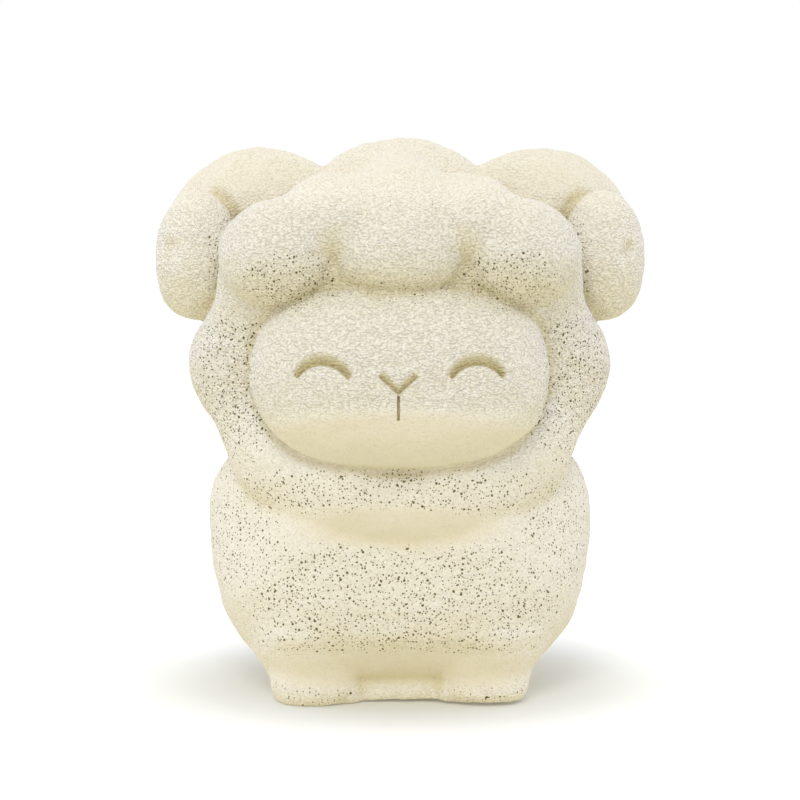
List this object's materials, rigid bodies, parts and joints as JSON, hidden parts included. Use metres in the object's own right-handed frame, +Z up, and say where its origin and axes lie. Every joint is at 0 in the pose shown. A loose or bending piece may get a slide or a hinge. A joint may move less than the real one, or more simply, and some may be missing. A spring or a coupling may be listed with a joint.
{
  "type": "sheep figurine",
  "caption": "Standing sheep figurine moulded in soft foam latex, with a lobed woolly mane, curled horns, closed smiling eyes and a flat base to stand on.",
  "frame": {"origin": "on the floor, at the middle of the base patch's underside, under the middle of the body", "axes": "+Z up through the head, -Y out of the face, +X to the right of someone who looks at the face"},
  "size_m": [0.089, 0.0778, 0.0998],
  "materials": {
    "foam_latex": "matte, fine moulded skin with pinholes and wrinkles",
    "patch_latex": "matte, trimmed sheet",
    "fibre_filling": "loose white fibre"
  },
  "bodies": {
    "root": {"head": "foam_latex", "body": "foam_latex", "face": "foam_latex", "horn_left": "foam_latex", "horn_right": "foam_latex", "foot_front_left": "foam_latex", "foot_front_right": "foam_latex", "foot_rear_left": "foam_latex", "foot_rear_right": "foam_latex", "tail": "foam_latex", "base_patch": "patch_latex", "filling": "fibre_filling"}
  },
  "joints": []
}
